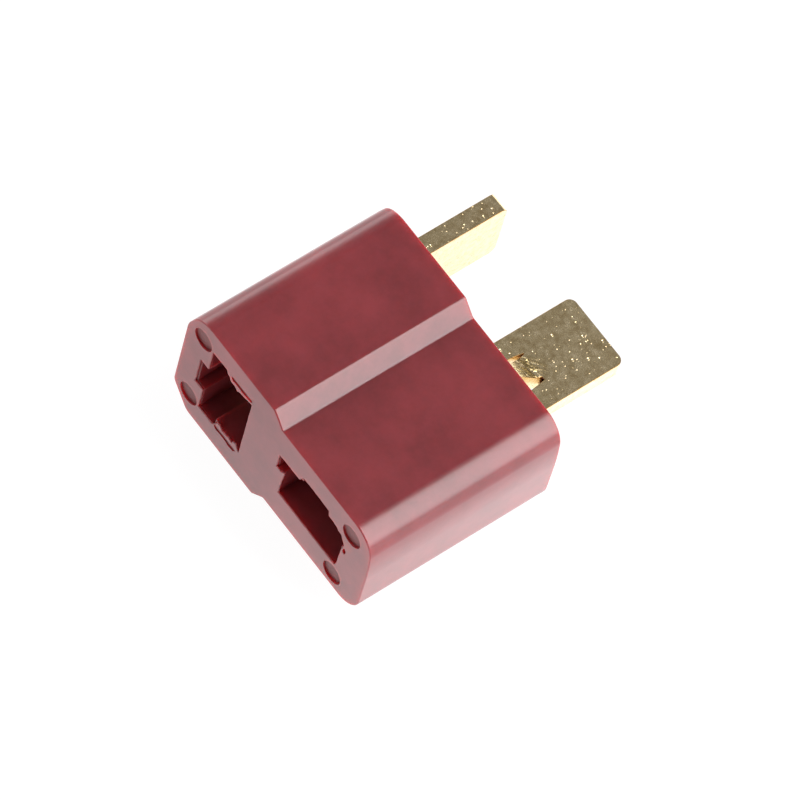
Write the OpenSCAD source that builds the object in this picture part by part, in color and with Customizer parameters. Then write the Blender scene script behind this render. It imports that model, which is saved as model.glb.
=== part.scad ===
// Two-pole flat-blade power connector, socket half.
// A stepped moulded housing carries one flat contact and one upright contact,
// set at right angles, so that the plug half fits only one way round.
// X runs across the housing, Y from the mating face to the solder tabs, Z up.
// The origin is at the middle of the whole length, on the underside of the thick half.

/* [Housing] */
// Width across both halves
housing_w = 16.4; // [15.8:0.1:18]
// Length from the mating face to the rear face
housing_l = 12.65; // [11.6:0.05:14]
// Height of the thick half, which holds the upright contact
thick_h = 9.4; // [9:0.1:10.4]
// Height of the thin half, which holds the flat contact
thin_h = 7.7; // [7.2:0.1:8.6]
// Radius of the thin half's two long corners
corner_r = 1.5; // [0.8:0.1:1.8]
// Chamfer of the thick half's two long corners, which tells the poles apart by touch
chamfer = 1.4; // [0.8:0.1:1.6]
// Radius that softens each edge of those chamfers
soft_r = 0.6; // [0.2:0.1:0.8]
// Thickness of the rear wall that the contacts seat against
rear_wall = 1.6; // [1.2:0.1:2.4]

/* [Sockets] */
// Distance of the flat socket's middle from the housing's middle
flat_x = 3.38; // [3.3:0.02:3.8]
// Height of the flat contact's blade face over the middle of the housing
flat_rise = 0.3; // [0:0.05:0.6]
// Distance of the upright contact's blade face from the housing's middle
upright_x = 4.68; // [4.3:0.02:4.9]
// Width of the passage for a mating blade
passage_w = 5.1; // [4.9:0.05:5.5]
// Depth of the passage, for the blade and the spring behind it
passage_d = 2.1; // [1.9:0.05:2.3]
// Width of the keyway behind each contact
keyway_w = 2.35; // [2.1:0.05:2.8]
// Depth of the keyway
keyway_d = 0.62; // [0.4:0.02:0.8]
// Clearance between a contact and its slot
slot_gap = 0.07; // [0.03:0.01:0.1]

/* [Contacts] */
// Thickness of the contact strip
bar_t = 1.15; // [1:0.05:1.3]
// Width of the contact inside the housing
bar_w = 5.95; // [5.6:0.05:6.3]
// Width of the solder tab
tab_w = 4.68; // [4.4:0.02:5]
// Length of the solder tab behind the housing
tab_l = 6.3; // [5:0.1:8]
// Radius of the solder tab's corners
tab_r = 0.45; // [0.2:0.05:0.8]
// Distance from the mating face to the contact's front end
recess = 2.8; // [2.2:0.1:3.5]

/* [Locking tongue] */
// Distance of the tongue's root from the rear face
tongue_l = 2; // [1.7:0.05:2.4]
// Width of the tongue at its root
tongue_w = 1.5; // [1.3:0.05:1.8]
// Width of the tongue where it meets the rear face
tongue_tip_w = 0.8; // [0.6:0.05:1.2]
// Width of the slit on each side of the root
slit_w = 0.28; // [0.2:0.02:0.4]
// Angle that the tongue is bent up
tongue_bend = 36; // [25:1:42]
// Inside radius of that bend
tongue_bend_r = 0.8; // [0.5:0.1:1]
// Length by which the tongue's window reaches into the rear wall
window_in = 0.8; // [0.4:0.1:1]

/* [Springs] */
// Thickness of the spring strip
spring_t = 0.25; // [0.2:0.01:0.3]
// Gap that is left for the blade, which pushes the spring back
blade_gap = 0.75; // [0.6:0.05:0.9]
// Radius of the bend at each foot
spring_bend_r = 1.4; // [1:0.1:2]
// Length of each flat foot
spring_foot = 0.7; // [0.4:0.1:1]
// Clearance at the sides and ends of a spring
spring_gap = 0.1; // [0.05:0.01:0.15]

/* [Moulding marks] */
// Diameter of the ejector pin marks on the mating face
mark_d = 1.47; // [1:0.01:1.8]
// Depth of the marks
mark_t = 0.1; // [0.05:0.01:0.2]

/* [Hidden] */
$fn = 64;
over = 0.5; // length by which a cut runs past a surface
bend_steps = 12; // facets of a short bend
bow_steps = 36; // facets of a spring's long bow

overall_l = housing_l + tab_l;
mid_z = thick_h / 2;
thin_z = (thick_h - thin_h) / 2; // underside of the thin half, and the run of each step
inner_l = housing_l - rear_wall;
slot_w = bar_w + 2 * slot_gap;
slot_t = bar_t + 2 * slot_gap;
spring_w = passage_w - 2 * spring_gap;
spring_l = inner_l - recess - 2 * spring_gap;

// Places of the ejector marks: distance in from the end, and height over the middle
thick_marks = [[1.4, 3.1], [1.35, -3]];
thin_marks = [[1.7, 2.4], [2.25, -2.7]];

red = [0.55, 0.2, 0.22];
gold = [0.72, 0.58, 0.3];
steel = [0.72, 0.72, 0.7];

// Moves what is drawn from the mating face backwards to the model's own origin
module centred() {
    translate([0, -overall_l / 2, 0]) children();
}

// Local frame of the flat socket: blade face at z = 0, contact above it
module at_flat() {
    translate([flat_x, 0, mid_z + flat_rise]) children();
}

// The same frame turned a quarter round, so that the contact stands on edge
module at_upright() {
    translate([-upright_x, 0, mid_z]) rotate([0, -90, 0]) children();
}

// Points along an arc
function arc(centre, radius, from, to, steps) = [
    for (i = [0:steps])
        let (a = from + (to - from) * i / steps)
        centre + radius * [cos(a), sin(a)]
];

// Section of the thick half: its outer corners are chamfers with soft edges
module thick_section() {
    left = -housing_w / 2;
    soft = soft_r * tan(22.5); // from a chamfer's edge to the start of its radius
    cut = soft / sqrt(2);
    for (top = [0, 1]) translate([0, top * thick_h]) mirror([0, top]) {
        polygon([
            [left, mid_z],
            [left, chamfer + soft],
            [left + cut, chamfer - cut],
            [left + chamfer - cut, cut],
            [left + chamfer + soft, 0],
            [-thin_z, 0],
            [0, thin_z],
            [0, mid_z]
        ]);
        translate([left + soft_r, chamfer + soft]) circle(r = soft_r);
        translate([left + chamfer + soft, soft_r]) circle(r = soft_r);
    }
}

// Section of the thin half: its outer corners are round
module thin_section() {
    right = housing_w / 2;
    top = thick_h - thin_z;
    translate([-over, thin_z]) square([right - corner_r + over, thin_h]);
    translate([0, thin_z + corner_r]) square([right, thin_h - 2 * corner_r]);
    for (z = [thin_z + corner_r, top - corner_r])
        translate([right - corner_r, z]) circle(r = corner_r);
}

// Room of one socket: blade passage, contact slot, keyway and the way out at the rear
module socket_room() {
    translate([-passage_w / 2, -over, -passage_d])
        cube([passage_w, inner_l + over, passage_d + slot_t]);
    translate([-slot_w / 2, -over, 0])
        cube([slot_w, inner_l + over, slot_t]);
    translate([-keyway_w / 2, -over, 0])
        cube([keyway_w, inner_l + over, slot_t + keyway_d]);
    translate([-tab_w / 2 - slot_gap, 0, 0])
        cube([tab_w + 2 * slot_gap, housing_l + over, slot_t]);
}

// Shallow round mark left by an ejector pin
module ejector_mark(x, z) {
    translate([x, mark_t, z]) rotate([90, 0, 0]) cylinder(d = mark_d, h = mark_t + over);
}

module housing() {
    color(red) centred() difference() {
        translate([0, housing_l, 0]) rotate([90, 0, 0]) linear_extrude(housing_l) {
            thick_section();
            thin_section();
        }
        at_flat() socket_room();
        at_upright() socket_room();
        for (m = thick_marks) ejector_mark(m[0] - housing_w / 2, mid_z + m[1]);
        for (m = thin_marks) ejector_mark(housing_w / 2 - m[0], mid_z + m[1]);
    }
}

// Outline of a contact strip: wide inside the housing, then a tab with round corners
module strip_outline() {
    translate([-bar_w / 2, recess]) square([bar_w, inner_l - recess]);
    translate([-tab_w / 2, recess]) square([tab_w, overall_l - tab_r - recess]);
    translate([tab_r - tab_w / 2, recess]) square([tab_w - 2 * tab_r, overall_l - recess]);
    for (side = [-1, 1])
        translate([side * (tab_w / 2 - tab_r), overall_l - tab_r]) circle(r = tab_r);
}

// Plan of the tongue, tapering from its root towards the rear face
module tongue_plan() {
    polygon([
        [-tongue_w / 2, tongue_l + over],
        [-tongue_w / 2, tongue_l],
        [-tongue_tip_w / 2, 0],
        [tongue_tip_w / 2, 0],
        [tongue_w / 2, tongue_l],
        [tongue_w / 2, tongue_l + over]
    ]);
}

// Side view of the tongue: a bend at its root, then a straight run up to the rear face
module tongue_profile() {
    centre = [tongue_l, bar_t + tongue_bend_r];
    lower = arc(centre, tongue_bend_r + bar_t, 270, 270 - tongue_bend, bend_steps);
    upper = arc(centre, tongue_bend_r, 270 - tongue_bend, 270, bend_steps);
    low_end = lower[len(lower) - 1];
    polygon(concat(
        [[tongue_l + over, 0]],
        lower,
        [[0, low_end[1] + low_end[0] * tan(tongue_bend)]],
        [[0, upper[0][1] + upper[0][0] * tan(tongue_bend)]],
        upper,
        [[tongue_l + over, bar_t]]
    ));
}

// Tongue that locks the contact: its end stands against the housing's rear face
module tongue() {
    top = bar_t / cos(tongue_bend) + tongue_l * tan(tongue_bend); // higher than its end
    intersection() {
        translate([-tongue_w / 2, 0, 0]) rotate([90, 0, 90]) linear_extrude(tongue_w) tongue_profile();
        translate([0, 0, -over]) linear_extrude(top + 2 * over) tongue_plan();
    }
}

// One contact in its socket's frame, lying against the outer wall of its slot
module contact() {
    window_w = tongue_w + 2 * slit_w;
    window_l = tongue_l + window_in;
    translate([0, 0, slot_t - bar_t]) {
        difference() {
            linear_extrude(bar_t) strip_outline();
            translate([-window_w / 2, housing_l + tongue_l - window_l, -over])
                cube([window_w, window_l, bar_t + 2 * over]);
        }
        translate([0, housing_l, 0]) tongue();
    }
}

module flat_contact() {
    color(gold) centred() at_flat() contact();
}

module upright_contact() {
    color(gold) centred() at_upright() contact();
}

// Side view of a bowed leaf spring: two flat feet, a bend at each, and one wide arc between them
module spring_profile() {
    half = spring_l / 2 - spring_foot;
    rise = passage_d - blade_gap - spring_t;
    turn = 2 * atan(rise / half);
    crown_r = (half * half + rise * rise) / (2 * rise) - spring_bend_r;
    crown = [0, rise - crown_r];
    left = [-half, spring_bend_r];
    right = [half, spring_bend_r];
    polygon(concat(
        [[-spring_l / 2, 0]],
        arc(left, spring_bend_r, 270, 270 + turn, bend_steps),
        arc(crown, crown_r, 90 + turn, 90 - turn, bow_steps),
        arc(right, spring_bend_r, 270 - turn, 270, bend_steps),
        [[spring_l / 2, 0], [spring_l / 2, spring_t]],
        arc(right, spring_bend_r - spring_t, 270, 270 - turn, bend_steps),
        arc(crown, crown_r + spring_t, 90 - turn, 90 + turn, bow_steps),
        arc(left, spring_bend_r - spring_t, 270 + turn, 270, bend_steps),
        [[-spring_l / 2, spring_t]]
    ));
}

// One spring in its socket's frame: it lies on the passage's floor and bows towards the contact
module spring() {
    translate([-spring_w / 2, (recess + inner_l) / 2, -passage_d])
        rotate([90, 0, 90]) linear_extrude(spring_w) spring_profile();
}

module flat_spring() {
    color(steel) centred() at_flat() spring();
}

module upright_spring() {
    color(steel) centred() at_upright() spring();
}

housing();
flat_contact();
upright_contact();
flat_spring();
upright_spring();
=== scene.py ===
import math

import bmesh
import bpy
from mathutils import Matrix, Vector, noise


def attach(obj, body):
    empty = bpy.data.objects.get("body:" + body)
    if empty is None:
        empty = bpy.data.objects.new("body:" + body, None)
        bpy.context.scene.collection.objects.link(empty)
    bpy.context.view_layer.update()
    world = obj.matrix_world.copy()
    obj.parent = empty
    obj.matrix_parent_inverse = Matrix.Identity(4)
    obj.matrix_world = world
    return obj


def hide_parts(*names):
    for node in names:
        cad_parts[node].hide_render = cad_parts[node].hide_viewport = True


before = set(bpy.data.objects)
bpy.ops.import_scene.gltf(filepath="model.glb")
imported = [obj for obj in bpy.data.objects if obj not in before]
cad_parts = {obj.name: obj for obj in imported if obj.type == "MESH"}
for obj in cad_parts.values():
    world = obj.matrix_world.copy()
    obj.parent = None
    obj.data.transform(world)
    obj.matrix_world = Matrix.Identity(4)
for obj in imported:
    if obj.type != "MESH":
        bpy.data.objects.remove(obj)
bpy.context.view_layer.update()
mm = 0.001
print("frame loaded")


def colour(hexCode):  # sRGB hex code to the linear RGBA that Blender's sockets take
    parts = [int(hexCode[i:i + 2], 16) / 255 for i in (1, 3, 5)]
    return [c / 12.92 if c <= 0.04045 else ((c + 0.055) / 1.055) ** 2.4 for c in parts] + [1.0]


def addNode(tree, kind, settings=None, **links):  # a node with its settings, and the sockets linked to it
    node = tree.nodes.new("ShaderNode" + kind)
    for key, value in (settings or {}).items():
        if key == "ramp":  # the first two stops of a colour ramp: place, colour, place, colour
            for stop, place, tint in zip(node.color_ramp.elements, value[::2], value[1::2]):
                stop.position = place
                stop.color = colour(tint)
        elif isinstance(key, int) or key in node.inputs:
            node.inputs[key].default_value = value
        else:
            setattr(node, key, value)
    for key, source in links.items():  # i0 is the first socket, and Base_Color is Base Color
        socket = int(key[1:]) if key[0] == "i" and key[1:].isdigit() else key.replace("_", " ")
        tree.links.new(source, node.inputs[socket])
    return node


def newMaterial(name):
    material = bpy.data.materials.new(name)
    material.use_nodes = True
    material.node_tree.nodes.clear()
    return material, material.node_tree


# Injection-moulded nylon, red all through: half gloss, cloudy, and light bleeds through its thin edges
nylonSet = {
    "dark": "#76262c", "light": "#8c3239", "shade": "#6e2a2c", "rubbed": "#b0564c",
    "cloud": 3.4,  # mm, size of the soft clouds in the colour
    "roughness": 0.3, "duller": 0.22,  # what the sunk and rubbed spots add to the roughness
    "ior": 1.62,
    "grain": 0.25, "grainDeep": 0.01,  # mm, orange peel of the mould
    "bleed": 2.2, "bleedColour": (1.0, 0.17, 0.13),  # mm that light goes into it, most of it red
    "bleedShare": 0.7,
    "stain": (6.25, -9.475, 5.9),  # mm, where flash was rubbed off beside the flat socket
    "stainSize": (0.6, 0.2),  # mm from there, where the spot ends and where it is strongest
    "sunk": -9.43,  # mm, floors of the ejector marks lie behind this, duller than the mating face, with painted shade in their colour
}


def mouldedNylon():
    s = nylonSet
    material, tree = newMaterial("moulded red nylon")
    where = addNode(tree, "TexCoord")
    place = where.outputs["Object"]
    cloud = addNode(tree, "TexNoise", {"Scale": 1 / (s["cloud"] * mm), "Detail": 7.0, "Roughness": 0.68},
                    Vector=place)
    tint = addNode(tree, "ValToRGB", {"ramp": (0.36, s["dark"], 0.64, s["light"])}, Fac=cloud.outputs["Fac"])

    gap = addNode(tree, "VectorMath", {"operation": "DISTANCE", 1: [c * mm for c in s["stain"]]}, i0=place)
    near = addNode(tree, "MapRange", {"From Min": s["stainSize"][0] * mm, "From Max": s["stainSize"][1] * mm},
                   Value=gap.outputs["Value"])
    patch = addNode(tree, "Math", {"operation": "MULTIPLY"}, i0=near.outputs["Result"], i1=cloud.outputs["Fac"])
    skin = addNode(tree, "Mix", {"data_type": "RGBA", 7: colour(s["rubbed"])},
                   i0=patch.outputs[0], i6=tint.outputs["Color"])

    # the marks' floors: deeper than the mating face, and facing the same way; they are duller, and their colour is
    # mixed towards the shade colour as painted shade for the recess
    spot = addNode(tree, "SeparateXYZ", None, Vector=place)
    depth = addNode(tree, "MapRange", {"From Min": (s["sunk"] - 0.02) * mm, "From Max": s["sunk"] * mm},
                    Value=spot.outputs["Y"])
    facing = addNode(tree, "SeparateXYZ", None, Vector=where.outputs["Normal"])
    faces = addNode(tree, "MapRange", {"From Min": -0.85, "From Max": -0.95}, Value=facing.outputs["Y"])
    sunk = addNode(tree, "Math", {"operation": "MULTIPLY"}, i0=depth.outputs["Result"], i1=faces.outputs["Result"])
    base = addNode(tree, "Mix", {"data_type": "RGBA", 7: colour(s["shade"])}, i0=sunk.outputs[0], i6=skin.outputs[2])
    dull = addNode(tree, "Math", {"operation": "MAXIMUM"}, i0=patch.outputs[0], i1=sunk.outputs[0])
    matt = addNode(tree, "Math", {"operation": "MULTIPLY_ADD", 1: s["duller"], 2: s["roughness"]}, i0=dull.outputs[0])

    grain = addNode(tree, "TexNoise", {"Scale": 1 / (s["grain"] * mm), "Detail": 3.0}, Vector=place)
    peel = addNode(tree, "Bump", {"Strength": 0.2, "Distance": s["grainDeep"] * mm}, Height=grain.outputs["Fac"])
    bleed = {"Subsurface Weight": s["bleedShare"], "Subsurface Scale": s["bleed"] * mm,
             "Subsurface Radius": s["bleedColour"]}
    shader = addNode(tree, "BsdfPrincipled", {"IOR": s["ior"], **bleed},
                     Base_Color=base.outputs[2], Roughness=matt.outputs[0], Normal=peel.outputs["Normal"])
    addNode(tree, "OutputMaterial", None, Surface=shader.outputs["BSDF"])
    return material


# Punched brass strip, barrel plated with gold: grainy and brownish, with bright dents from the barrel
goldSet = {
    "dark": "#d8bd8c", "light": "#f2ddb3",
    "grain": 0.4, "grainDeep": 0.015,  # mm, patches and speckle of the plating
    "roughness": (0.2, 0.28),
    # mm apart, radius in cells, share left plain, mm deep
    "dents": ((0.42, 0.27, 0.5, 0.035), (0.27, 0.3, 0.45, 0.016)),
    "torn": (3.35, 4.75, 6.5), "tornSize": 1.2,  # mm, where the flat contact's tongue was pulled up
    "soiled": "#c0a468",
    "stroke": 0.2, "strokeDeep": 0.025,  # mm, width and depth of the torn strokes
    "strokeTurn": 37, "strokeStretch": (6, 1, 2),  # degrees, and how many times longer along each way
}


def goldPlate():
    s = goldSet
    material, tree = newMaterial("barrel plated gold on brass")
    where = addNode(tree, "TexCoord")
    place = where.outputs["Object"]
    grain = addNode(tree, "TexNoise", {"Scale": 1 / (s["grain"] * mm), "Detail": 5.0, "Roughness": 0.75},
                    Vector=place)
    tint = addNode(tree, "ValToRGB", {"ramp": (0.35, s["dark"], 0.65, s["light"])}, Fac=grain.outputs["Fac"])
    shiny, matt = s["roughness"]
    rough = addNode(tree, "MapRange", {"From Min": 0.3, "From Max": 0.7, "To Min": shiny, "To Max": matt},
                    Value=grain.outputs["Fac"])
    bump = addNode(tree, "Bump", {"Strength": 0.35, "Distance": s["grainDeep"] * mm}, Height=grain.outputs["Fac"])

    for pitch, radius, plain, deep in s["dents"]:
        cells = addNode(tree, "TexVoronoi", {"Scale": 1 / (pitch * mm)}, Vector=place)
        bowl = addNode(tree, "MapRange", {"interpolation_type": "SMOOTHSTEP", "From Min": radius, "From Max": 0.0},
                       Value=cells.outputs["Distance"])
        pick = addNode(tree, "SeparateColor", None, Color=cells.outputs["Color"])
        some = addNode(tree, "MapRange", {"From Min": plain, "From Max": plain + 0.12}, Value=pick.outputs[0])
        dent = addNode(tree, "Math", {"operation": "MULTIPLY"}, i0=bowl.outputs["Result"], i1=some.outputs["Result"])
        bump = addNode(tree, "Bump", {"Strength": 1.0, "Distance": deep * mm, "invert": True},
                       Height=dent.outputs[0], Normal=bump.outputs["Normal"])

    # strokes on top of the tongue and its root, where the punch tore the plating
    turned = addNode(tree, "Mapping", {"vector_type": "TEXTURE", "Rotation": (0, 0, math.radians(s["strokeTurn"])),
                                       "Scale": s["strokeStretch"]}, Vector=place)
    strokes = addNode(tree, "TexNoise", {"Scale": 1 / (s["stroke"] * mm), "Detail": 2.0},
                      Vector=turned.outputs["Vector"])
    lines = addNode(tree, "MapRange", {"From Min": 0.42, "From Max": 0.6}, Value=strokes.outputs["Fac"])
    gap = addNode(tree, "VectorMath", {"operation": "DISTANCE", 1: [c * mm for c in s["torn"]]}, i0=place)
    near = addNode(tree, "MapRange", {"From Min": s["tornSize"] * mm, "From Max": 0.5 * s["tornSize"] * mm},
                   Value=gap.outputs["Value"])
    facing = addNode(tree, "SeparateXYZ", None, Vector=where.outputs["Normal"])
    above = addNode(tree, "MapRange", {"From Min": 0.3, "From Max": 0.6}, Value=facing.outputs["Z"])
    upper = addNode(tree, "Math", {"operation": "MULTIPLY"}, i0=near.outputs["Result"], i1=above.outputs["Result"])
    torn = addNode(tree, "Math", {"operation": "MULTIPLY"}, i0=upper.outputs[0], i1=lines.outputs["Result"])
    soiled = addNode(tree, "Mix", {"data_type": "RGBA", 7: colour(s["soiled"])},
                     i0=torn.outputs[0], i6=tint.outputs["Color"])
    bump = addNode(tree, "Bump", {"Strength": 1.0, "Distance": s["strokeDeep"] * mm},
                   Height=torn.outputs[0], Normal=bump.outputs["Normal"])

    shader = addNode(tree, "BsdfPrincipled", {"Metallic": 1.0},
                     Base_Color=soiled.outputs[2], Roughness=rough.outputs["Result"], Normal=bump.outputs["Normal"])
    addNode(tree, "OutputMaterial", None, Surface=shader.outputs["BSDF"])
    return material


# The strip's punched edges, where the plating is thin: bare brass gone brown
brassSet = {"dark": "#8f6432", "light": "#b98a4a", "cloud": 0.3, "roughness": 0.4}  # the cloud in mm


def punchedBrass():
    s = brassSet
    material, tree = newMaterial("browned brass edge")
    place = addNode(tree, "TexCoord").outputs["Object"]
    cloud = addNode(tree, "TexNoise", {"Scale": 1 / (s["cloud"] * mm), "Detail": 3.0}, Vector=place)
    tint = addNode(tree, "ValToRGB", {"ramp": (0.3, s["dark"], 0.7, s["light"])}, Fac=cloud.outputs["Fac"])
    shader = addNode(tree, "BsdfPrincipled", {"Metallic": 1.0, "Roughness": s["roughness"]},
                     Base_Color=tint.outputs["Color"])
    addNode(tree, "OutputMaterial", None, Surface=shader.outputs["BSDF"])
    return material


# Rolled spring steel strip, bright, with fine rolling lines along its length
steelSet = {
    "dark": "#b4b4b0", "light": "#dadad6", "roughness": 0.3,
    "line": 0.08, "lineDeep": 0.004,  # mm
    "lineStretch": (1.0, 0.04, 1.0),
}


def springSteel():
    s = steelSet
    material, tree = newMaterial("rolled spring steel")
    place = addNode(tree, "TexCoord").outputs["Object"]
    long = addNode(tree, "Mapping", {"Scale": s["lineStretch"]}, Vector=place)
    lines = addNode(tree, "TexNoise", {"Scale": 1 / (s["line"] * mm), "Detail": 2.0}, Vector=long.outputs["Vector"])
    tint = addNode(tree, "ValToRGB", {"ramp": (0.3, s["dark"], 0.7, s["light"])}, Fac=lines.outputs["Fac"])
    bump = addNode(tree, "Bump", {"Strength": 0.2, "Distance": s["lineDeep"] * mm}, Height=lines.outputs["Fac"])
    shader = addNode(tree, "BsdfPrincipled", {"Metallic": 1.0, "Roughness": s["roughness"]},
                     Base_Color=tint.outputs["Color"], Normal=bump.outputs["Normal"])
    addNode(tree, "OutputMaterial", None, Surface=shader.outputs["BSDF"])
    return material


nylon = mouldedNylon()
gold = goldPlate()
brass = punchedBrass()
steel = springSteel()
for name, material in (("housing", nylon), ("flat_contact", gold), ("upright_contact", gold),
                       ("flat_spring", steel), ("upright_spring", steel)):
    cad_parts[name].data.materials.clear()
    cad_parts[name].data.materials.append(material)
print("materials made")


def newObject(name, bm, material=None):  # sizes in the bmesh are millimetres
    bmesh.ops.scale(bm, vec=(mm, mm, mm), verts=bm.verts)
    bmesh.ops.recalc_face_normals(bm, faces=bm.faces)
    mesh = bpy.data.meshes.new(name)
    bm.to_mesh(mesh)
    bm.free()
    if material:
        mesh.materials.append(material)
    piece = bpy.data.objects.new(name, mesh)
    bpy.context.collection.objects.link(piece)
    return piece


def applyModifiers(piece):
    solid = piece.evaluated_get(bpy.context.evaluated_depsgraph_get())
    piece.data = bpy.data.meshes.new_from_object(solid)
    piece.modifiers.clear()


def combine(piece, tools, operation):  # the tools are used up
    for tool in tools:
        step = piece.modifiers.new("combine", "BOOLEAN")
        step.operation = operation
        step.solver = "EXACT"
        step.object = tool
    applyModifiers(piece)
    for tool in tools:
        bpy.data.objects.remove(tool)


def finish(piece, node, angle):  # shading that keeps flat faces flat, and what the piece stands for
    for face in piece.data.polygons:
        face.use_smooth = True
    piece.data.set_sharp_from_angle(angle=math.radians(angle))
    even = piece.modifiers.new("even shading", "WEIGHTED_NORMAL")
    even.keep_sharp = True
    applyModifiers(piece)
    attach(piece, "root")
    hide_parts(node)


def vertsOf(geom):
    return [part for part in geom if isinstance(part, bmesh.types.BMVert)]


def pullOut(bm, way):  # draws the faces out into a solid
    made = bmesh.ops.extrude_face_region(bm, geom=list(bm.faces))
    bmesh.ops.translate(bm, vec=way, verts=vertsOf(made["geom"]))


def roundCorner(bm, vert, offset, facets):
    bmesh.ops.bevel(bm, geom=[vert], affect="VERTICES", offset=offset, segments=facets, profile=0.5, material=-1)


def outlineFace(bm, points, y):  # a face across the housing from its outline
    return bm.faces.new([bm.verts.new((x, y, z)) for x, z in points])


def outwards(points):  # which way is away from the inside of the outline, at each of its points
    area = sum(a[0] * b[1] - b[0] * a[1] for a, b in zip(points, points[1:] + points[:1]))
    turn = 1 if area > 0 else -1
    away = []
    for before, here, after in zip(points[-1:] + points[:-1], points, points[1:] + points[:1]):
        one = (Vector(here) - Vector(before)).normalized()
        two = (Vector(after) - Vector(here)).normalized()
        both = Vector((one.y + two.y, -one.x - two.x)) * turn
        away.append(both / max(both.dot(Vector((one.y, -one.x)) * turn), 0.5))
    return away


def crumble(points, pitch, amount, seed):  # more points along an outline, each moved a little
    waves = ((2.1, 1, 0), (6.3, 0.7, 9))  # turns a mm, share of the amount, step of the seed
    fine = []
    for here, after in zip(points, points[1:] + points[:1]):
        steps = max(1, round((Vector(after) - Vector(here)).length / pitch))
        fine += [tuple(Vector(here).lerp(Vector(after), i / steps)) for i in range(steps)]
    torn = []
    for spot, away in zip(fine, outwards(fine)):
        move = sum(share * noise.noise((spot[0] * often, spot[1] * often, seed + step)) for often, share, step in waves)
        torn.append(tuple(Vector(spot) + away * amount * move))
    return torn


def plug(points, rings):  # the solid that fills an outline, drawn through rings of y and how far outwards
    bm = bmesh.new()
    number = bm.verts.layers.int.new("number")
    away = outwards(points)
    cap = outlineFace(bm, points, 0)
    for i, vert in enumerate(cap.verts):
        vert[number] = i
    for step, (y, out) in enumerate(rings):
        if step:
            made = bmesh.ops.extrude_face_region(bm, geom=[cap, *cap.edges])
            cap = [part for part in made["geom"] if isinstance(part, bmesh.types.BMFace)][0]
        for vert in cap.verts:
            x, z = Vector(points[vert[number]]) + away[vert[number]] * out
            vert.co = (x, y, z)
    return bm


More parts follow.
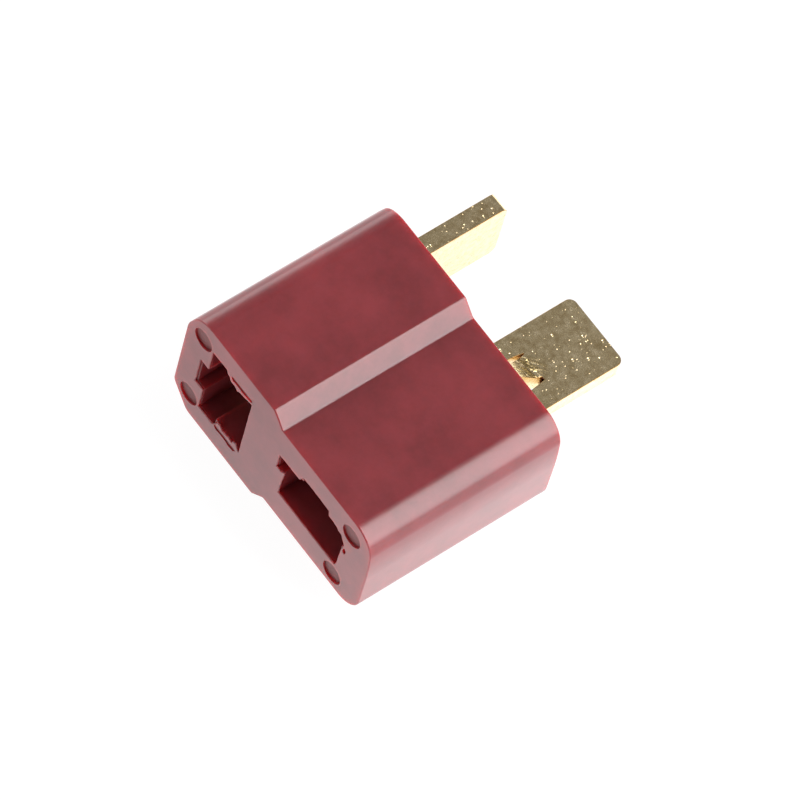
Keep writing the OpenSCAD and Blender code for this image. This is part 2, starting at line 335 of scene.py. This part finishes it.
# The housing: its section, then both sockets, the way out for the tabs, and the marks of the mould
housingSet = {
    "front": -9.475, "rear": 3.175,
    # corner x and z, how far from the corner its rounding starts, facets in the rounding
    "section": [(-8.2, 1.4, 0.25, 5), (-6.8, 0, 0.25, 5), (-0.85, 0, 0.1, 3), (0, 0.85, 0.1, 3),
                (8.2, 0.85, 1.5, 14), (8.2, 5.8, 0.9, 6), (7.95, 8.55, 1.45, 14), (0, 8.55, 0.1, 3),
                (-0.85, 9.4, 0.1, 3), (-6.75, 9.4, 0.42, 8), (-7.62, 8.95, 0.45, 8), (-8.2, 7.55, 0.3, 5)],
    "frontRim": 0.08, "rearRim": 0.07, "rimFacets": 3,
    "smooth": 30,  # degrees, sharper edges keep a hard line
    # a socket inside, across and away from its contact's blade face
    "socket": [(-2.55, -2.1), (2.55, -2.1), (2.55, 0), (3.045, 0), (3.045, 1.29), (1.175, 1.29),
               (1.175, 1.91), (-1.175, 1.91), (-1.175, 1.29), (-3.045, 1.29), (-3.045, 0), (-2.55, 0)],
    "flatFace": (3.38, 5.0),  # middle of the flat contact's blade face, x and z
    "uprightFace": (-4.68, 4.7),
    "film": 0.13,  # thickness of the flash that narrows the mouths
    "room": 11.05,  # from the mating face to the rear wall
    # mouths as flash left them, x and z
    "flatMouth": [(0.29, 6.26), (1.2, 6.29), (2.06, 6.3), (2.2, 6.74), (2.36, 6.86), (3.5, 6.87), (4.5, 6.82),
                  (4.57, 6.4), (5.0, 6.38), (5.32, 6.3), (5.48, 6.15), (5.76, 6.15), (5.9, 5.88), (6.1, 5.6),
                  (6.1, 5.4), (6.01, 5.0), (5.97, 3.7), (5.95, 3.15), (5.86, 2.93), (3.0, 2.94), (0.88, 2.97),
                  (0.88, 3.9), (0.92, 4.7), (0.98, 5.22), (0.82, 5.12), (0.64, 4.98), (0.29, 5.0)],
    "uprightMouth": [(-5.98, 7.74), (-4.76, 7.77), (-4.62, 7.5), (-4.44, 7.47), (-4.37, 7.26), (-4.2, 7.17),
                     (-3.98, 7.22), (-3.8, 7.1), (-3.68, 6.98), (-3.55, 7.16), (-3.2, 7.23), (-2.75, 7.34),
                     (-2.5, 7.4), (-2.5, 2.08), (-2.62, 2.2), (-2.82, 2.46), (-3.02, 2.42), (-3.14, 2.18),
                     (-3.4, 2.28), (-3.62, 2.16), (-3.95, 2.14), (-4.2, 2.36), (-4.42, 2.3), (-4.56, 2.0),
                     (-4.7, 1.72), (-4.85, 1.63), (-6.02, 1.62), (-6.02, 3.47), (-6.7, 3.45), (-6.7, 5.83),
                     (-6.0, 5.85)],
    "pitch": 0.14, "ragged": 0.025,  # mm between the points of a torn edge, and how far they move
    "pit": [(6.18, 5.3), (6.14, 5.05), (6.2, 4.84), (6.33, 4.8), (6.42, 4.98), (6.4, 5.2), (6.3, 5.34)],
    # the tabs' ways out: middle x and z, width and height
    "waysOut": [("flat way out", 3.38, 5.645, 4.82, 1.29), ("upright way out", -5.325, 4.7, 1.29, 4.82)],
    # how each cutter runs: y from the mating face, or from the rear one, and how far outwards
    "mouthRings": [(-0.2, 0.05), (0, 0.045), (0.05, 0), (0.15, 0)],
    "pitRings": [(-0.2, 0), (0.5, -0.03)],
    "wayRings": [(-2.1, 0), (-0.08, 0), (0, 0.06), (0.2, 0.06)],
    # ejector pins, x and z
    "marks": [(-6.8, 7.8), (-6.85, 1.7), (6.5, 7.1), (5.95, 2.0)],
    "markAcross": 1.47, "markDeep": 0.15, "markLean": 2.5,
    # pins that ran into the upright socket's edge: lower and upper z, and the outline
    "partMarks": [(7.48, 8.08, [(-4.28, 7.58), (-4.1, 7.48), (-3.6, 7.5), (-3, 7.5), (-2.55, 7.6), (-2.42, 7.8),
                                (-2.6, 8), (-3.2, 8.08), (-3.9, 8.05), (-4.22, 7.85)]),
                  (1.5, 2.15, [(-4.62, 1.75), (-4.5, 1.58), (-3.8, 1.62), (-3.2, 1.5), (-2.85, 1.55), (-2.72, 1.85),
                               (-2.9, 2.1), (-3.5, 2.08), (-4.1, 2.15), (-4.5, 2.05)])],
    "partDeep": 0.09, "partRagged": 0.05,
    "partSlope": 1.3,  # how many times its depth a part mark's floor rises over its height
}


def housingBlank():
    s = housingSet
    bm = bmesh.new()
    outlineFace(bm, [corner[:2] for corner in s["section"]], s["front"])
    for vert, corner in zip(list(bm.verts), s["section"]):
        roundCorner(bm, vert, corner[2], corner[3])
    pullOut(bm, (0, s["rear"] - s["front"], 0))
    bmesh.ops.recalc_face_normals(bm, faces=bm.faces)
    for y, rim in ((s["front"], s["frontRim"]), (s["rear"], s["rearRim"])):
        edges = [e for e in bm.edges if all(abs(v.co.y - y) < 1e-5 for v in e.verts)]
        bmesh.ops.bevel(bm, geom=edges, affect="EDGES", offset=rim, segments=s["rimFacets"], profile=0.5, material=-1)
    return newObject("housing_moulding", bm, nylon)


def ringsFrom(y, rings):
    return [(y + along, out) for along, out in rings]


def socketCutters():
    s = housingSet
    front = s["front"]
    flat = [(s["flatFace"][0] + u, s["flatFace"][1] + w) for u, w in s["socket"]]
    upright = [(s["uprightFace"][0] - w, s["uprightFace"][1] + u) for u, w in s["socket"]]
    cutters = []
    for name, room, mouth, seed in (("flat", flat, s["flatMouth"], 3), ("upright", upright, s["uprightMouth"], 5)):
        cutters.append(newObject(name + " room", plug(room, [(front + s["film"], 0), (front + s["room"], 0)])))
        torn = crumble(mouth, s["pitch"], s["ragged"], seed)
        cutters.append(newObject(name + " mouth", plug(torn, ringsFrom(front, s["mouthRings"]))))
    cutters.append(newObject("pit", plug(s["pit"], ringsFrom(front, s["pitRings"]))))
    for name, x, z, wide, high in s["waysOut"]:
        hole = [(x + i * wide / 2, z + k * high / 2) for i, k in ((-1, -1), (1, -1), (1, 1), (-1, 1))]
        cutters.append(newObject(name, plug(hole, ringsFrom(s["rear"], s["wayRings"]))))
    return cutters


def mouldMarks():
    s = housingSet
    cutters = []
    radius, long = s["markAcross"] / 2, 2  # mm, the pin that makes a mark
    lean = Matrix.Rotation(math.radians(90), 4, "X") @ Matrix.Rotation(math.radians(s["markLean"]), 4, "Y")
    for x, z in s["marks"]:
        bm = bmesh.new()
        bmesh.ops.create_cone(bm, cap_ends=True, segments=48, radius1=radius, radius2=radius, depth=long)
        stand = Matrix.Translation((x, s["front"] + s["markDeep"] - long / 2, z)) @ lean
        bmesh.ops.transform(bm, matrix=stand, verts=bm.verts)
        cutters.append(newObject("ejector mark", bm))
    for low, high, points in s["partMarks"]:
        torn = crumble(points, s["pitch"], s["partRagged"], low)
        bm = plug(torn, [(s["front"] - 0.5, 0), (s["front"] + s["partDeep"], 0)])
        for vert in bm.verts:  # its floor rises to nothing towards the top
            if vert.co.y > s["front"]:
                vert.co.y -= s["partDeep"] * s["partSlope"] * (vert.co.z - low) / (high - low)
        cutters.append(newObject("part mark", bm))
    return cutters


housing = housingBlank()
combine(housing, socketCutters() + mouldMarks(), "DIFFERENCE")
finish(housing, "housing", housingSet["smooth"])
print("housing carved")


# The contacts: a punched strip with a tongue bent out of its tab.
# x runs across the strip, y back from the mating face, and z away from the blade's side of the slot
contactSet = {
    "front": 2.8, "step": 11.05, "end": 18.95,  # the strip's front end, where its tab starts, the tab's end
    "wide": 5.95, "tab": 4.68, "thick": 1.15, "corner": 0.45, "cornerFacets": 8,
    "lift": 0.14,  # from the blade's side of the slot to the strip
    # hole that the tongue left; its last points move to the root
    "window": [(-1.11, 11.85), (0.99, 11.85), (0.99, 13.78), (0.88, 14.65), (-0.98, 14.65), (-1.11, 13.84)],
    "root": {"flat": 14.65, "upright": 14.35}, "tip": 12.65,
    "rootWide": 1.62, "tipWide": 0.62, "middle": -0.13,
    "bend": 36, "bendRadius": 0.8, "bendSteps": 9,
    "tail": 0.4,  # length of the tongue's piece that lies in the tab
    "edge": 0.08, "facets": 3,
    "weld": 0.0005,  # mm, points that lie nearer become one
    "flat": 1, "sharp": 25, "smooth": 40,  # degrees: flatter edges go, sharper ones are bevelled, or keep a hard line
    "place": {"flat": Matrix.Translation((3.38, -9.475, 5.0)),
              "upright": Matrix.Translation((-4.68, -9.475, 4.7)) @ Matrix.Rotation(math.radians(-90), 4, "Y")},
}


def strip():
    s = contactSet
    a, b = s["wide"] / 2, s["tab"] / 2
    outline = [(-a, s["front"]), (a, s["front"]), (a, s["step"]), (b, s["step"]),
               (b, s["end"]), (-b, s["end"]), (-b, s["step"]), (-a, s["step"])]
    bm = bmesh.new()
    bm.faces.new([bm.verts.new((x, y, s["lift"])) for x, y in outline])
    for vert in [v for v in bm.verts if v.co.y == max(w.co.y for w in bm.verts)]:
        roundCorner(bm, vert, s["corner"], s["cornerFacets"])
    pullOut(bm, (0, 0, s["thick"]))
    return bm


def window(root):
    s = contactSet
    spare = 0.5  # mm, how far it reaches past the strip
    bm = bmesh.new()
    bm.faces.new([bm.verts.new((x, min(y, root), s["lift"] - spare)) for x, y in s["window"]])
    pullOut(bm, (0, 0, s["thick"] + 2 * spare))
    return bm


def tongue(root):
    s = contactSet
    bm = bmesh.new()
    bmesh.ops.create_grid(bm, x_segments=1, y_segments=1, size=0.5)
    stand = Matrix.Translation((0, root + s["tail"], s["lift"] + s["thick"] / 2))
    stand = stand @ Matrix.Diagonal((1, 1, s["thick"], 1)) @ Matrix.Rotation(math.radians(90), 4, "X")
    bmesh.ops.transform(bm, matrix=stand, verts=bm.verts)
    made = bmesh.ops.extrude_face_region(bm, geom=[*bm.faces, *bm.edges])["geom"]
    bmesh.ops.translate(bm, vec=(0, -s["tail"], 0), verts=vertsOf(made))
    centre = (0, root, s["lift"] + s["thick"] + s["bendRadius"])
    made = bmesh.ops.spin(bm, geom=made, cent=centre, axis=(1, 0, 0), angle=math.radians(-s["bend"]),
                          steps=s["bendSteps"])["geom_last"]
    made = bmesh.ops.extrude_face_region(bm, geom=made)["geom"]
    rise = math.radians(s["bend"])
    straight = 3  # mm, past its end, which is then cut off flat
    bmesh.ops.translate(bm, vec=(0, -straight * math.cos(rise), straight * math.sin(rise)), verts=vertsOf(made))
    bmesh.ops.bisect_plane(bm, geom=[*bm.verts, *bm.edges, *bm.faces], plane_co=(0, s["tip"], 0), plane_no=(0, -1, 0),
                           clear_outer=True)
    bmesh.ops.holes_fill(bm, edges=[e for e in bm.edges if e.is_boundary], sides=0)
    for vert in bm.verts:  # tapers from its root to its end
        along = min(1, (vert.co.y - s["tip"]) / (root - s["tip"]))
        vert.co.x = s["middle"] + vert.co.x * (s["tipWide"] + along * (s["rootWide"] - s["tipWide"]))
    return bm


def punchedContact(node, where):
    s = contactSet
    root = s["root"][where]
    piece = newObject("contact", strip(), gold)
    combine(piece, [newObject("window", window(root))], "DIFFERENCE")
    combine(piece, [newObject("tongue", tongue(root))], "UNION")
    bm = bmesh.new()
    bm.from_mesh(piece.data)
    bpy.data.objects.remove(piece)
    bmesh.ops.scale(bm, vec=(1 / mm, 1 / mm, 1 / mm), verts=bm.verts)
    bmesh.ops.remove_doubles(bm, verts=bm.verts, dist=s["weld"])
    bmesh.ops.dissolve_limit(bm, angle_limit=math.radians(s["flat"]), verts=bm.verts, edges=bm.edges)
    sharp = [e for e in bm.edges if len(e.link_faces) == 2 and e.calc_face_angle() > math.radians(s["sharp"])]
    made = bmesh.ops.bevel(bm, geom=sharp, affect="EDGES", offset=s["edge"], segments=s["facets"], profile=0.5,
                           material=-1, clamp_overlap=True)
    for face in made["faces"]:  # bare brass shows on the edges
        face.material_index = 1
    bmesh.ops.transform(bm, matrix=s["place"][where], verts=bm.verts)
    punched = newObject(node + "_strip", bm, gold)
    punched.data.materials.append(brass)
    finish(punched, node, s["smooth"])


punchedContact("flat_contact", "flat")
punchedContact("upright_contact", "upright")
print("contacts finished")


# White acrylic table lit from below, and the lamps round the part
stageSet = {
    "tableSize": 1.2,  # metres
    "tableLow": 0.02,  # mm below the part, so that their faces don't fight
    "below": 0.7,  # light that comes up through the table
    "white": 0.9,  # share of the lamps' light that it gives back
    "gloss": 1.5,  # the table under the part, as its gloss sees it: painted brightness that only reflections show
    "glossRise": 20.0,  # how much brighter that gets a metre towards the lamp
    "glossLeast": 1.1,
    "glossMost": 3.0,
    "beside": (8.2, 9.2, 1.3),  # mm to the right, where the table is brightest, and how much
    "border": (10.6, 11.8, 0.65),  # mm to the right, where that ends, and what is left of it
    "seen": 0.94,  # the table as the camera sees it, before the lamps add the rest
    "seenWhite": 0.12,  # share of the lamps' light in that, for a faint shadow
    "sky": 0.24,
    # direction from the part, direction of the first side, metres away, metres across, watts
    "lamps": {
        "side softbox": ((0.62, 0.39, 0.68), (0.74, 0, -0.67), 0.5, (0.7, 0.2), 2.3),
        "softbox rim": ((0.62, 0.39, 0.68), (0.74, 0, -0.67), 0.51, (0.88, 0.34), 1.5),
        "left fill": ((-0.8, -0.25, 0.45), (0, 1, 0), 0.5, (0.3, 0.3), 0.6),
        "far left": ((-0.88, 0.39, 0.22), (0.4, 0.9, 0), 0.5, (0.5, 0.2), 0.9),
        "front strip": ((-0.3, -0.87, 0.39), (1, 0, 0), 0.5, (0.3, 0.06), 0.25),
    },
}


def acrylicTable():
    s = stageSet
    material, tree = newMaterial("white acrylic table")
    ray = addNode(tree, "LightPath")
    place = addNode(tree, "TexCoord").outputs["Object"]
    spot = addNode(tree, "SeparateXYZ", None, Vector=place)
    # painted reflection: what the part's gloss sees of the table, brighter towards the lamp, brightest just right of
    # the part and dimmer past that
    reach = addNode(tree, "Math", {"operation": "ADD"}, i0=spot.outputs["X"], i1=spot.outputs["Y"])
    rise = addNode(tree, "Math", {"operation": "MULTIPLY_ADD", 1: s["glossRise"], 2: s["gloss"]}, i0=reach.outputs[0])
    least = addNode(tree, "Math", {"operation": "MAXIMUM", 1: s["glossLeast"]}, i0=rise.outputs[0])
    most = addNode(tree, "Math", {"operation": "MINIMUM", 1: s["glossMost"]}, i0=least.outputs[0])
    for start, end, share in (s["beside"], s["border"]):
        part = addNode(tree, "MapRange", {"From Min": start * mm, "From Max": end * mm,
                                          "To Min": 1.0, "To Max": share}, Value=spot.outputs["X"])
        most = addNode(tree, "Math", {"operation": "MULTIPLY"}, i0=most.outputs[0], i1=part.outputs["Result"])
    shine = addNode(tree, "Emission", None, Strength=most.outputs[0])
    white = addNode(tree, "BsdfDiffuse", {"Color": (s["white"],) * 3 + (1.0,)})
    glow = addNode(tree, "Emission", {"Strength": s["below"]})
    lit = addNode(tree, "AddShader", None, i0=white.outputs[0], i1=glow.outputs[0])
    shade = addNode(tree, "BsdfDiffuse", {"Color": (s["seenWhite"],) * 3 + (1.0,)})
    pale = addNode(tree, "Emission", {"Strength": s["seen"]})
    seen = addNode(tree, "AddShader", None, i0=shade.outputs[0], i1=pale.outputs[0])
    plain = addNode(tree, "MixShader", None, i0=ray.outputs["Is Camera Ray"], i1=lit.outputs[0], i2=seen.outputs[0])
    glossy = addNode(tree, "MixShader", None,
                     i0=ray.outputs["Is Glossy Ray"], i1=plain.outputs[0], i2=shine.outputs[0])
    addNode(tree, "OutputMaterial", None, Surface=glossy.outputs[0])
    return material


def whiteTable():
    low = Matrix.Translation((0, 0, -stageSet["tableLow"] * mm))
    bm = bmesh.new()
    bmesh.ops.create_grid(bm, x_segments=1, y_segments=1, size=stageSet["tableSize"] / 2, matrix=low)
    mesh = bpy.data.meshes.new("table")
    bm.to_mesh(mesh)
    bm.free()
    mesh.materials.append(acrylicTable())
    table = bpy.data.objects.new("table", mesh)
    bpy.context.collection.objects.link(table)


def softbox(name, direction, across, distance, size, watts):  # area light that faces the part
    light = bpy.data.lights.new(name, "AREA")
    light.shape = "RECTANGLE"
    light.size, light.size_y = size
    light.energy = watts
    towards = Vector(direction).normalized()
    side = (Vector(across) - towards * towards.dot(Vector(across))).normalized()
    lamp = bpy.data.objects.new(name, light)
    lamp.matrix_world = Matrix((side, towards.cross(side), towards)).transposed().to_4x4()
    lamp.location = towards * distance
    bpy.context.collection.objects.link(lamp)


def studioWorld():  # grey all round, and white where the camera looks past the table
    world = bpy.data.worlds.new("studio")
    world.use_nodes = True
    tree = world.node_tree
    tree.nodes.clear()
    ray = addNode(tree, "LightPath")
    grey = addNode(tree, "Background", {"Color": (stageSet["sky"],) * 3 + (1.0,)})
    white = addNode(tree, "Background", {"Color": (1.0, 1.0, 1.0, 1.0)})
    mix = addNode(tree, "MixShader", None, i0=ray.outputs["Is Camera Ray"], i1=grey.outputs[0], i2=white.outputs[0])
    addNode(tree, "OutputWorld", None, Surface=mix.outputs[0])
    bpy.context.scene.world = world


whiteTable()
for name, lampSet in stageSet["lamps"].items():
    softbox(name, *lampSet)
studioWorld()

cameraSet = {  # the photo's viewpoint
    "place": (0.127246, -0.165529, 0.374609),  # metres
    "turn": (28.1099, -8.5150, 53.1606),  # degrees
    "lens": 360.62, "sensor": 36,  # mm
    "reach": 10,  # metres
}
camera = bpy.data.objects.new("camera", bpy.data.cameras.new("camera"))
camera.data.sensor_width = cameraSet["sensor"]
camera.data.lens = cameraSet["lens"]
camera.data.clip_end = cameraSet["reach"]
camera.location = cameraSet["place"]
camera.rotation_euler = [math.radians(a) for a in cameraSet["turn"]]
bpy.context.collection.objects.link(camera)
bpy.context.scene.camera = camera
bpy.context.scene.view_settings.view_transform = "Standard"
print("stage set")
